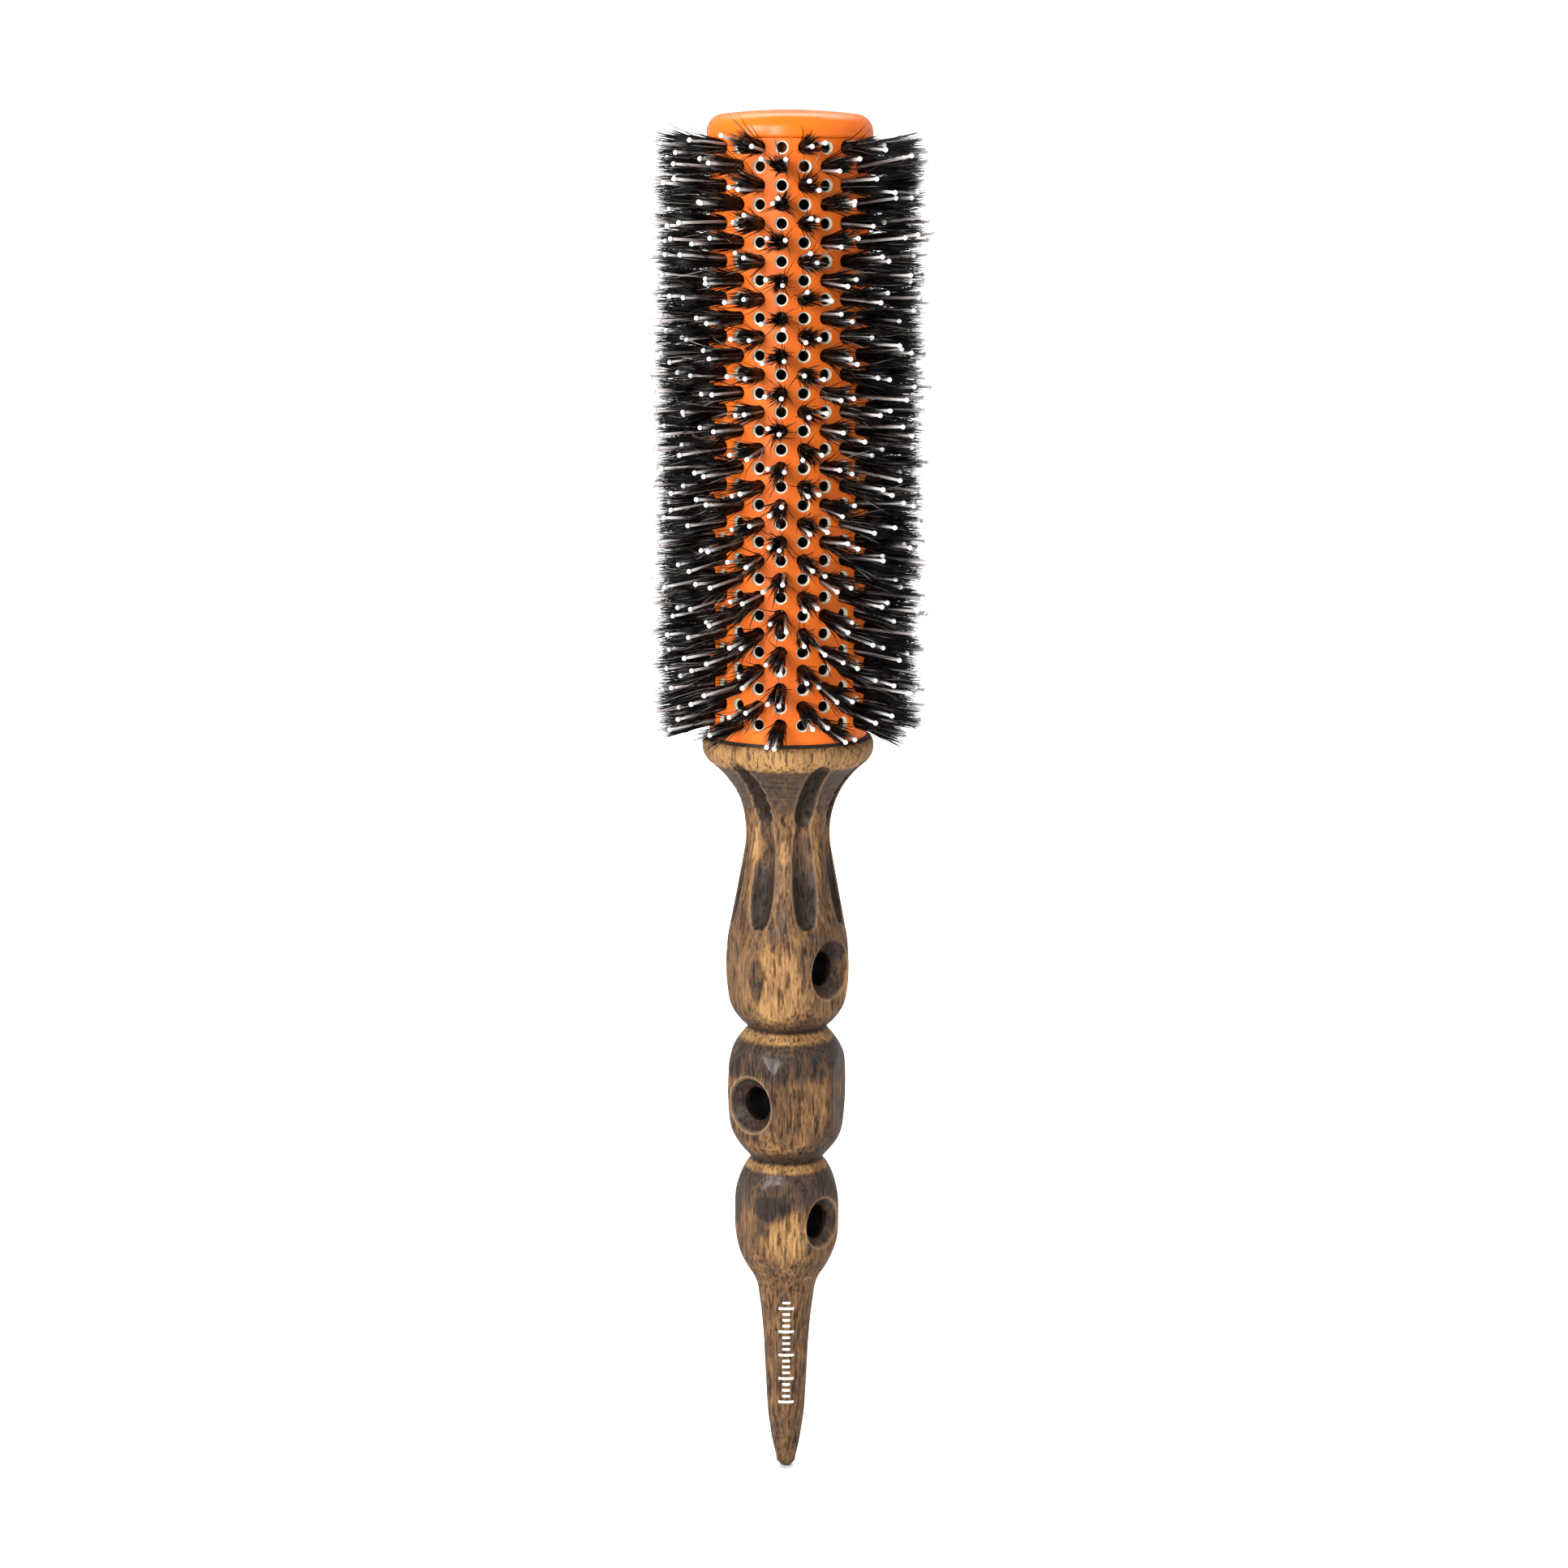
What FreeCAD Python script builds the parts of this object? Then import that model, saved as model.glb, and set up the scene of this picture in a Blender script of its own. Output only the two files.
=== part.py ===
import FreeCAD, Part
import math
import os
import Sketcher

# Thermal round brush for blow-drying: a pierced aluminium barrel over a plastic bristle core, a
# round end cap, and a turned and carved beech handle.
# Frame: +Z along the brush, the tail tip of the handle at the origin, the barrel on top.
# Azimuths are in degrees from -Y, the front of the brush, towards +X. Sizes are in millimetres.

V = FreeCAD.Vector

SIZES = {
    # barrel
    "barrel_radius": 16.0, "sleeve_wall": 0.6, "sleeve_foot": 156.6, "sleeve_top": 276.2,
    "core_radius": 15.35, "core_bore": 10.3, "core_foot": 156.6, "core_top": 275.9,
    # the grid of holes: tufts and air vents in turn
    "row_count": 32, "column_count": 22, "lowest_row": 160.5, "row_pitch": 3.671, "first_column": -5.9,
    "sleeve_hole": 1.35, "vent_hole": 1.05, "socket_hole": 1.3, "socket_floor": 12.2,
    # bristles
    "tuft_root": 0.8, "tuft_end": 1.5, "tuft_reach": 28.4, "pin_offset": 1.06, "pin_stem": 0.28,
    "pin_ball": 0.5, "pin_reach": 29.6, "pin_splay": 5.0, "lean_low": 12.0, "lean_top": -3.0,
    "anchor_width": 2.2, "anchor_thick": 0.3, "anchor_depth": 0.8,
    # joint ring and the pin that locks the barrel to the handle
    "ring_radius": 16.25, "ring_bore": 10.4, "ring_foot": 156.0, "ring_top": 156.6,
    "lock_pin_radius": 1.0, "lock_pin_reach": 15.0, "lock_pin_rows": 1.5,
    # carving of the handle
    "flute_count": 7, "flute_azimuth": -31.0, "flute_cutter": 2.6, "flute_depth": 1.2,
    "flute_end": 118.0, "flute_top": 56.0, "scallop_cutter": 2.75, "scallop_pitch": 11.0,
    "bore_radius": 3.5,
    "upper_bore_height": 108.6, "upper_bore_azimuth": 51.0, "upper_mouth": 6.1, "upper_flat": 11.3,
    "middle_bore_height": 80.4, "middle_bore_azimuth": -43.0, "middle_mouth": 5.9, "middle_flat": 11.15,
    "lower_bore_height": 54.8, "lower_bore_azimuth": 51.0, "lower_mouth": 5.3, "lower_flat": 9.55,
    "upper_bead_foot": 95.5, "upper_bead_head": 121.0, "middle_bead_foot": 67.6,
    "middle_bead_head": 95.5, "lower_bead_foot": 42.0, "lower_bead_head": 67.6,
}

# Turning tables, each a closed half-outline: station, radius, height, and the radius of the curve
# that leads to it, plus for convex, minus for hollow, 0 for straight. DOMED is a convex curve that
# has one end on the axis and meets it squarely, so its radius follows from its ends.
DOMED = "domed"

# The handle, from the tail tip up.
TURNING = [
    ("tip", 0.0, 0.0, 0.0),
    ("nose", 2.1, 2.4, DOMED),
    ("tail", 4.0, 15.0, 70.0),
    ("waist", 4.55, 26.0, 0.0),
    ("throat", 5.8, 38.8, -147.0),
    ("lower_foot", 7.4, 43.0, -10.0),
    ("lower_crown", 11.1, 55.6, 20.0),
    ("lower_head", 8.3, 66.4, 20.0),
    ("lower_groove", 7.3, 67.6, 0.0),
    ("middle_foot", 8.6, 69.2, 0.0),
    ("middle_belly", 11.8, 74.5, 12.8),
    ("middle_crown", 12.85, 82.9, 37.0),
    ("middle_shoulder", 12.4, 88.1, 42.0),
    ("middle_head", 9.0, 94.3, 16.0),
    ("upper_groove", 8.0, 95.5, 0.0),
    ("upper_foot", 9.0, 96.5, 0.0),
    ("upper_belly", 11.85, 100.5, 11.0),
    ("upper_crown", 12.85, 108.7, 30.0),
    ("upper_head", 12.0, 116.0, 42.0),
    ("neck_foot", 8.98, 132.5, 0.0),
    ("neck", 8.63, 136.3, -20.0),
    ("flare", 15.7, 150.9, -18.6),
    ("collar", 17.5, 154.4, 4.2),
    ("rim", 17.1, 156.0, 2.6),
    ("spigot_foot", 10.15, 156.0, 0.0),
    ("spigot", 10.15, 175.2, 0.0),
    ("spigot_bevel", 9.35, 176.0, 0.0),
    ("dowel_foot", 7.0, 176.0, 0.0),
    ("dowel", 7.0, 275.2, 0.0),
    ("dowel_bevel", 6.2, 276.0, 0.0),
    ("dowel_end", 0.0, 276.0, 0.0),
]

# The end cap: under its roof, down and up its skirt, and over its rounded edge.
CAP_TURNING = [
    ("roof", 0.0, 278.9, 0.0),
    ("roof_edge", 8.6, 278.9, 0.0),
    ("skirt_inner", 8.6, 268.2, 0.0),
    ("skirt_outer", 10.2, 268.2, 0.0),
    ("skirt_root", 10.2, 276.2, 0.0),
    ("cap_lip", 16.6, 276.2, 0.0),
    ("cap_edge", 16.6, 277.6, 0.0),
    ("cap_shoulder", 13.0, 281.1, 3.6),
    ("cap_crown", 0.0, 281.9, DOMED),
]

doc = FreeCAD.newDocument("round_brush")
sheet = doc.addObject("Spreadsheet::Sheet", "Sizes")


def fill_sheet():
    """Put each size in the sheet with its name as alias, and the turning tables after them."""
    rows = list(SIZES.items())
    for name, radius, height, curve in TURNING + CAP_TURNING:
        rows += [(name + "_radius", radius), (name + "_height", height)]
        if curve not in (0.0, DOMED):
            rows.append((name + "_curve", abs(curve)))
    for number, (name, value) in enumerate(rows, start=1):
        sheet.set("A%d" % number, name)
        sheet.set("B%d" % number, str(value))
        sheet.setAlias("B%d" % number, name)
    doc.recompute()


def size(name):
    return float(getattr(sheet, name))


def outward(azimuth):
    """Unit vector that points away from the axis at an azimuth."""
    turn = math.radians(azimuth)
    return V(math.sin(turn), -math.cos(turn), 0)


def around(azimuth):
    """Unit vector along the rim, towards larger azimuths."""
    turn = math.radians(azimuth)
    return V(math.cos(turn), math.sin(turn), 0)


def origin_plane(body, role):
    return [plane for plane in body.Origin.OriginFeatures if plane.Role == role][0]


def arc_between(start, end, radius):
    """Arc from start to end: plus bulges to the right of the way there, minus to the left."""
    if radius == DOMED:
        rise, reach = abs(end.y - start.y), abs(end.x - start.x)
        radius = (reach * reach + rise * rise) / (2 * rise)
    chord = end - start
    left = V(-chord.y, chord.x, 0).normalize()
    half = chord.Length / 2
    drop = math.sqrt(radius * radius - half * half)
    centre = (start + end) * 0.5 + left * (drop if radius > 0 else -drop)
    first, last = (start, end) if radius > 0 else (end, start)
    turns = [math.atan2(point.y - centre.y, point.x - centre.x) for point in (first, last)]
    if turns[1] < turns[0]:
        turns[1] += 2 * math.pi
    return Part.ArcOfCircle(Part.Circle(centre, V(0, 0, 1), abs(radius)), turns[0], turns[1])


def outline_sketch(body, name, stations):
    """Closed half-outline on the XZ plane, each corner and curve tied to its cells in the sheet."""
    sketch = body.newObject("Sketcher::SketchObject", name)
    sketch.AttachmentSupport = [(origin_plane(body, "XZ_Plane"), "")]
    sketch.MapMode = "FlatFace"
    corners = [V(radius, height, 0) for _, radius, height, _ in stations]
    count = len(stations)
    for number in range(count):
        start, end = corners[number], corners[(number + 1) % count]
        curve = stations[(number + 1) % count][3]
        edge = Part.LineSegment(start, end) if curve == 0 else arc_between(start, end, curve)
        sketch.addGeometry(edge, False)
    # which end of each piece of outline is its start: an arc is stored anticlockwise
    ends = []
    for number in range(count):
        piece = sketch.Geometry[number]
        forward = (piece.StartPoint - corners[number]).Length < 1e-6
        ends.append((1, 2) if forward else (2, 1))
    for number in range(count):
        after = (number + 1) % count
        meeting = (number, ends[number][1], after, ends[after][0])
        sketch.addConstraint(Sketcher.Constraint("Coincident", *meeting))
    for number, (station, radius, height, curve) in enumerate(stations):
        start = ends[number][0]
        if radius == 0:
            sketch.addConstraint(Sketcher.Constraint("PointOnObject", number, start, -2))
        else:
            across = Sketcher.Constraint("DistanceX", -1, 1, number, start, radius)
            bind(sketch, across, station + "_radius")
        if height == 0:
            sketch.addConstraint(Sketcher.Constraint("PointOnObject", number, start, -1))
        else:
            upward = Sketcher.Constraint("DistanceY", -1, 1, number, start, height)
            bind(sketch, upward, station + "_height")
        before = (number - 1) % count
        if curve == DOMED:
            sketch.addConstraint(Sketcher.Constraint("PointOnObject", before, 3, -2))
        elif curve != 0:
            bind(sketch, Sketcher.Constraint("Radius", before, abs(curve)), station + "_curve")
    return sketch


def bind(sketch, constraint, name):
    """Add a constraint named after a cell and give it that cell's value."""
    index = sketch.addConstraint(constraint)
    sketch.renameConstraint(index, name)
    sketch.setExpression("Constraints." + name, "Sizes." + name)


def turned(name, stations):
    """Body of a turning table's outline, turned once about the axis."""
    body = doc.addObject("PartDesign::Body", name)
    turn = body.newObject("PartDesign::Revolution", name + "Turning")
    turn.Profile = outline_sketch(body, name + "Outline", stations)
    turn.ReferenceAxis = (turn.Profile[0], ["V_Axis"])
    turn.Angle = 360
    body.Tip = turn
    return body


def primitive(kind, name, placement, **sizes):
    """A Part primitive whose sizes follow expressions on the sheet."""
    made = doc.addObject("Part::" + kind, name)
    for prop, expression in sizes.items():
        made.setExpression(prop, expression)
    made.Placement = placement
    return made


def along(azimuth, distance, height):
    """Placement at a distance out from the axis, with its own Z pointing outwards there."""
    facing = FreeCAD.Rotation(V(0, 0, 1), azimuth - 90) * FreeCAD.Rotation(V(0, 1, 0), 90)
    return FreeCAD.Placement(outward(azimuth) * distance + V(0, 0, height), facing)


def cross_bore_tools(bead):
    """Cutters for one bead's cross bore: the straight hole and a countersink at each mouth."""
    azimuth, height = size(bead + "_bore_azimuth"), size(bead + "_bore_height")
    flat, mouth, radius = size(bead + "_flat"), size(bead + "_mouth"), size("bore_radius")
    sink = mouth - radius
    reach = flat + sink
    title = bead.capitalize()
    tools = [primitive("Cylinder", title + "Bore", along(azimuth, -reach, height),
                       Radius="Sizes.bore_radius", Height="2 * (2 * Sizes.%s_flat)" % bead)]
    for side, facing in (("Front", azimuth), ("Rear", azimuth + 180)):
        tools.append(primitive("Cone", title + side + "Mouth", along(facing, flat - sink, height),
                               Radius1="Sizes.bore_radius",
                               Radius2="2 * Sizes.%s_mouth - Sizes.bore_radius" % bead,
                               Height="2 * (Sizes.%s_mouth - Sizes.bore_radius)" % bead))
    return tools


def facet_tools(bead):
    """Six blocks that plane flats on a bead: two over the bore's mouths, four between them."""
    azimuth, flat = size(bead + "_bore_azimuth"), size(bead + "_flat")
    foot, head = size(bead + "_bead_foot"), size(bead + "_bead_head")
    tools = []
    for turn in range(6):
        facing = azimuth + 60 * turn
        corner = outward(facing) * flat - around(facing) * flat + V(0, 0, foot)
        tools.append(primitive("Box", "%sFacet%d" % (bead.capitalize(), turn),
                               FreeCAD.Placement(corner, FreeCAD.Rotation(V(0, 0, 1), facing - 90)),
                               Length="Sizes.barrel_radius", Width="2 * Sizes.%s_flat" % bead,
                               Height="Sizes.%s_bead_head - Sizes.%s_bead_foot" % (bead, bead)))
    return tools


def flute_tool(number):
    """Gouge cut down the neck: a tube bent along the flare, then straight down until it runs out.

    Every second flute is left with the scallops of the gouge.
    """
    cutter, depth = size("flute_cutter"), size("flute_depth")
    bend = size("flare_curve")
    neck, neck_height = size("neck_radius"), size("neck_height")
    centre = V(neck + bend, 0, neck_height)
    offset = cutter - depth
    path = bend - offset
    start = V(neck + offset, 0, neck_height)
    section = Part.Face(Part.Wire(Part.makeCircle(cutter, start, V(0, 0, 1))))
    top = size("flute_top")
    pieces = [section.revolve(centre, V(0, 1, 0), top)]

    def on_path(turn):
        return centre + V(-path * math.cos(math.radians(turn)), 0, path * math.sin(math.radians(turn)))

    pieces.append(Part.makeSphere(cutter, on_path(top)))
    pieces.append(Part.makeSphere(cutter, start))
    slope = (size("upper_head_radius") - size("neck_foot_radius")) / (
        size("neck_foot_height") - size("upper_head_height"))
    end_height = size("flute_end")
    end_surface = size("neck_foot_radius") + slope * (size("neck_foot_height") - end_height)
    end = V(end_surface + cutter, 0, end_height)
    pieces.append(Part.makeCylinder(cutter, (end - start).Length, start, end - start))
    if number % 2 == 0:
        scallop, pitch = size("scallop_cutter"), size("scallop_pitch")
        for step in range(int(top / pitch) + 1):
            pieces.append(Part.makeSphere(scallop, on_path(top - step * pitch)))
    made = doc.addObject("Part::Feature", "FluteTool%d" % number)
    made.Shape = pieces[0].multiFuse(pieces[1:])
    azimuth = size("flute_azimuth") + 360.0 / size("flute_count") * number
    made.Placement = FreeCAD.Placement(V(0, 0, 0), FreeCAD.Rotation(V(0, 0, 1), azimuth - 90))
    return made


def lock_pin_azimuth():
    """Half way between two columns of holes, at the side of the brush."""
    return size("first_column") + 360.0 / size("column_count") * 5.5


def lock_pin_height():
    return size("lowest_row") + size("lock_pin_rows") * size("row_pitch")


def lock_pin_solid(name):
    reach = size("lock_pin_reach")
    return primitive("Cylinder", name, along(lock_pin_azimuth(), -reach, lock_pin_height()),
                     Radius="Sizes.lock_pin_radius", Height="2 * Sizes.lock_pin_reach")


def handle():
    """Turned beech: tail, three beads, neck, collar, spigot and dowel, then carved and bored."""
    blank = turned("TurnedBlank", TURNING)
    tools = [lock_pin_solid("SpigotPinHole")]
    for bead in ("upper", "middle", "lower"):
        tools += cross_bore_tools(bead) + facet_tools(bead)
    tools += [flute_tool(number) for number in range(int(size("flute_count")))]
    cutters = doc.addObject("Part::MultiFuse", "CarvingCutters")
    cutters.Shapes = tools
    return cut("Handle", blank, cutters)


def cut(name, base, tool):
    made = doc.addObject("Part::Cut", name)
    made.Base = base
    made.Tool = tool
    return made


def tube(name, outer, inner, foot, top):
    """Plain tube about the axis, its four sizes given as names in the sheet."""
    height = "Sizes.%s - Sizes.%s" % (top, foot)
    base = FreeCAD.Placement(V(0, 0, size(foot)), FreeCAD.Rotation())
    outside = primitive("Cylinder", name + "Outside", base, Radius=outer, Height=height)
    inside = primitive("Cylinder", name + "Inside", base, Radius=inner, Height=height)
    return cut(name + "Tube", outside, inside)


def grid():
    """Every hole of the grid: column, azimuth, height, and whether it holds a tuft."""
    columns, rows = int(size("column_count")), int(size("row_count"))
    for column in range(columns):
        azimuth = size("first_column") + 360.0 / columns * column
        for row in range(rows):
            yield column, azimuth, size("lowest_row") + row * size("row_pitch"), (column + row) % 2 == 0


def radial_holes(name, radius, start, end, kinds):
    """Cutters for the holes that hold tufts (True), vents (False) or both."""
    made = doc.addObject("Part::Feature", name)
    solids = []
    for _, azimuth, height, tufted in grid():
        if tufted in kinds:
            out = outward(azimuth)
            solids.append(Part.makeCylinder(radius, end - start, out * start + V(0, 0, height), out))
    made.Shape = Part.makeCompound(solids)
    return made


def barrel_sleeve():
    """Orange-coated aluminium tube that heats up under the dryer, pierced all over."""
    blank = tube("Sleeve", "Sizes.barrel_radius", "Sizes.barrel_radius - Sizes.sleeve_wall",
                 "sleeve_foot", "sleeve_top")
    start, end = size("core_bore") + 3, size("barrel_radius") + 1
    holes = radial_holes("SleeveHoles", size("sleeve_hole"), start, end, (True, False))
    return cut("BarrelSleeve", blank, holes)


def brush_core():
    """Plastic tube inside the sleeve: blind sockets hold the tufts, the vents go right through."""
    blank = tube("Core", "Sizes.core_radius", "Sizes.core_bore", "core_foot", "core_top")
    end = size("barrel_radius") + 1
    vents = radial_holes("CoreVents", size("vent_hole"), size("core_bore") - 1, end, (False,))
    sockets = radial_holes("CoreSockets", size("socket_hole"), size("socket_floor"), end, (True,))
    drilled = cut("DrilledCore", cut("VentedCore", blank, vents), sockets)
    return cut("BrushCore", drilled, lock_pin_solid("CorePinHole"))


def end_cap():
    """Round cap over the barrel's end, with a hollow skirt that plugs into the core."""
    return turned("EndCap", CAP_TURNING)


def bent_tuft(azimuth, height, lean):
    """Bristle bundle: straight in its socket, then leaning by an angle towards the handle."""
    out = outward(azimuth)
    floor = size("socket_floor") + size("anchor_depth") + 0.05
    surface = size("barrel_radius")
    length = size("tuft_reach") - surface
    turn = math.radians(lean)
    direction = out * math.cos(turn) - V(0, 0, 1) * math.sin(turn)
    middle = out * surface + V(0, 0, height)
    rings = [
        (out * floor + V(0, 0, height), 0.0, size("tuft_root")),
        (middle, lean / 2, size("tuft_root")),
        (middle + direction * (length / math.cos(turn)), lean, size("tuft_end")),
    ]
    return Part.makeLoft([tilted_ring(azimuth, *ring) for ring in rings], True, True)


def tilted_ring(azimuth, centre, lean, radius):
    """Circle across a tuft; its seam is always at the same side, so that lofts don't twist."""
    ring = Part.Wire(Part.makeCircle(radius))
    facing = FreeCAD.Rotation(V(0, 0, 1), azimuth - 90) * FreeCAD.Rotation(V(0, 1, 0), 90 + lean)
    ring.Placement = FreeCAD.Placement(centre, facing)
    return ring


def pin_blank():
    """Nylon pin along +Z with its ball end, its root at the origin, turned from one outline."""
    stem, ball = size("pin_stem"), size("pin_ball")
    length = (size("pin_reach") - size("barrel_radius")) + 1.2
    centre = length - ball
    neck = centre - math.sqrt(ball * ball - stem * stem)
    points = [V(0, 0, 0), V(stem, 0, 0), V(stem, 0, neck)]
    edges = [Part.makeLine(points[0], points[1]), Part.makeLine(points[1], points[2])]
    edges.append(Part.Arc(points[2], V(ball, 0, centre), V(0, 0, length)).toShape())
    edges.append(Part.makeLine(V(0, 0, length), points[0]))
    return Part.Face(Part.Wire(edges)).revolve(V(0, 0, 0), V(0, 0, 1), 360)


def pin_pair(blank, azimuth, height, lean):
    """The two pins at the flanks of a tuft, splayed a little apart and leaning with it."""
    out = outward(azimuth)
    root = size("barrel_radius") - 1.2
    pins = []
    for side in (-1, 1):
        turn, splay = math.radians(lean), math.radians(size("pin_splay")) * side
        direction = out * (math.cos(turn) * math.cos(splay)) + around(azimuth) * math.sin(splay)
        direction = direction - V(0, 0, 1) * (math.sin(turn) * math.cos(splay))
        base = out * root + around(azimuth) * (side * size("pin_offset")) + V(0, 0, height)
        pin = blank.copy()
        pin.Placement = FreeCAD.Placement(base, FreeCAD.Rotation(V(0, 0, 1), direction))
        pins.append(pin)
    return pins


def lean_at(height):
    """Lean towards the handle in degrees: nearly none in the upper half, growing downwards."""
    low, top = size("lean_low"), size("lean_top")
    span = (size("row_count") - 1) * size("row_pitch")
    share = (height - size("lowest_row")) / span
    return low + (top - low) * share ** 0.85


def bristle_columns():
    """For each column of the grid, one group of tufts and one group of pins."""
    blank = pin_blank()
    made = []
    for column in range(int(size("column_count"))):
        tufts, pins = [], []
        for number, azimuth, height, tufted in grid():
            if number == column and tufted:
                tufts.append(bent_tuft(azimuth, height, lean_at(height)))
                pins += pin_pair(blank, azimuth, height, lean_at(height))
        for kind, solids in (("tuft", tufts), ("pin", pins)):
            group = doc.addObject("Part::Feature", "%sColumn%02d" % (kind.capitalize(), column + 1))
            group.Shape = Part.makeCompound(solids)
            made.append((group, "%s_column_%02d" % (kind, column + 1)))
    return made


def tuft_anchors():
    """Flat steel staples, one across the floor of each socket."""
    wide, thick, deep = size("anchor_width"), size("anchor_thick"), size("anchor_depth")
    solids = []
    for _, azimuth, height, tufted in grid():
        if tufted:
            staple = Part.makeBox(deep, thick, wide, V(size("socket_floor"), -thick / 2, -wide / 2))
            facing = FreeCAD.Rotation(V(0, 0, 1), azimuth - 90)
            staple.Placement = FreeCAD.Placement(V(0, 0, height), facing)
            solids.append(staple)
    made = doc.addObject("Part::Feature", "TuftAnchors")
    made.Shape = Part.makeCompound(solids)
    return made


def joint_ring():
    """Thin black ring between the barrel and the collar."""
    return tube("JointRing", "Sizes.ring_radius", "Sizes.ring_bore", "ring_foot", "ring_top")


def write_parts(parts):
    """Check every object and solid, then write one STEP file for each sub-part."""
    doc.recompute()
    for item in doc.Objects:
        if "Invalid" in item.State or "Error" in item.State:
            raise RuntimeError("%s did not build: %s" % (item.Name, item.State))
    os.makedirs("parts", exist_ok=True)
    for item, label in parts:
        if item.Shape.isNull() or not item.Shape.isValid():
            raise RuntimeError("%s has no valid shape" % label)
        item.Label = label
        item.Shape.exportStep("parts/%s.step" % label)
        print("%s: %d solids, %.1f mm3" % (label, len(item.Shape.Solids), item.Shape.Volume))


fill_sheet()
write_parts([
    (handle(), "handle"),
    (joint_ring(), "joint_ring"),
    (barrel_sleeve(), "barrel_sleeve"),
    (brush_core(), "brush_core"),
    (end_cap(), "end_cap"),
    (lock_pin_solid("LockPin"), "lock_pin"),
    (tuft_anchors(), "tuft_anchors"),
] + bristle_columns())
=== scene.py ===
"""Looks of the thermal round brush: bristles, pins, carved wooden handle, coated barrel and studio."""
import math

import bpy
import numpy as np
from mathutils import Matrix, Vector


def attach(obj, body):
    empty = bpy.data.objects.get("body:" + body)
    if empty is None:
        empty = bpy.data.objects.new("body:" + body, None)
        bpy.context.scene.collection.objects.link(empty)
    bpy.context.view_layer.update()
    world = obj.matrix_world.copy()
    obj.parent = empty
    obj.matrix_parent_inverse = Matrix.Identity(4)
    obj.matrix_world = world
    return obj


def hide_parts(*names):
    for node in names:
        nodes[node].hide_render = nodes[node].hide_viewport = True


MM = 0.001
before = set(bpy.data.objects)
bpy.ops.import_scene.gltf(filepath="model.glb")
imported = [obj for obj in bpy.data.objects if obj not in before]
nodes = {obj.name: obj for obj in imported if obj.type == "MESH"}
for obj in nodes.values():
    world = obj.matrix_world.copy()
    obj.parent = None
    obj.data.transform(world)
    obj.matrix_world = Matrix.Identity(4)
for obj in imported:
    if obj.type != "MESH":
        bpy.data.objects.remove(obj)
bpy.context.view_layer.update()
dice = np.random.default_rng(32)

# The grid of holes in the barrel, tufts and vents in turn, as the CAD part has it.
COLUMNS, ROWS = 22, 32
FIRST_COLUMN = math.radians(-5.9)
LOWEST_ROW, ROW_PITCH = 160.5 * MM, 3.671 * MM
BARREL_RADIUS = 16.0 * MM

# Tufts and pins: where they start below the barrel's surface, how far they reach, and how much they lean
# towards the handle in the lowest and in the top row.
ROOT_RADIUS = BARREL_RADIUS - 1.2 * MM
TUFT_REACH, LONGEST_HAIR, HIGHEST_HAIR = 28.6 * MM, 28.9 * MM, 281.5 * MM
SHORTEST_PIN, LONGEST_PIN = 25.2 * MM, 29.3 * MM
LEAN_LOW, LEAN_TOP = math.radians(8.5), math.radians(-3.0)
TUFT_RADIUS, HAIRS, WISPS, STRAY_SHARE = 1.15 * MM, 150, 9, 0.17
HAIR_RADII = (0.055 * MM, 0.095 * MM)
PIN_BALL = 0.51 * MM
PIN_STEM = np.array([0.36, 0.33, 0.31, 0.30, 0.29]) * MM


# ---------------------------------------------------------------- meshes

def new_mesh(name, points, faces):
    """Object of the given points and faces, both as arrays; faces are rows of three or four."""
    mesh = bpy.data.meshes.new(name)
    loops = np.concatenate([rows.ravel() for rows in faces]).astype(np.int32)
    sizes = np.concatenate([np.full(len(rows), rows.shape[1]) for rows in faces])
    starts = np.concatenate([[0], np.cumsum(sizes)[:-1]]).astype(np.int32)
    mesh.vertices.add(len(points))
    mesh.vertices.foreach_set("co", np.asarray(points, np.float32).ravel())
    mesh.loops.add(len(loops))
    mesh.loops.foreach_set("vertex_index", loops)
    mesh.polygons.add(len(sizes))
    mesh.polygons.foreach_set("loop_start", starts)
    mesh.polygons.foreach_set("use_smooth", np.ones(len(sizes), bool))
    mesh.update(calc_edges=True)
    mesh.validate()
    piece = bpy.data.objects.new(name, mesh)
    bpy.context.scene.collection.objects.link(piece)
    return piece


def wrapped(angle):
    """Angle brought to between minus and plus half a turn."""
    return (angle + math.pi) % (2 * math.pi) - math.pi


def ring_faces(rows, columns):
    """Quads of a grid of rings, each ring closed on itself, wound to face away from the axis."""
    row, column = np.meshgrid(np.arange(rows - 1), np.arange(columns), indexing="ij")
    low, after = row * columns, (column + 1) % columns
    quads = np.stack([low + column, low + after, low + columns + after, low + columns + column], -1)
    return quads.reshape(-1, 4)


def spun_points(radius, height, azimuth):
    """Points at a radius, height and azimuth; azimuth 0 is the front, -Y, and grows towards +X."""
    return np.stack([radius * np.sin(azimuth), -radius * np.cos(azimuth), height + 0 * azimuth], -1)


def turned_piece(name, radius, height, columns):
    """Closed solid of revolution: the outline's two ends lie on the axis and become single points."""
    azimuth = np.linspace(0, 2 * math.pi, columns, endpoint=False)
    rings = spun_points(radius[1:-1, None], height[1:-1, None], azimuth[None, :])
    rows = len(radius) - 2
    poles = np.array([[0, 0, height[0]], [0, 0, height[-1]]])
    return pole_closed(name, rings, rows, columns, poles)


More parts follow.
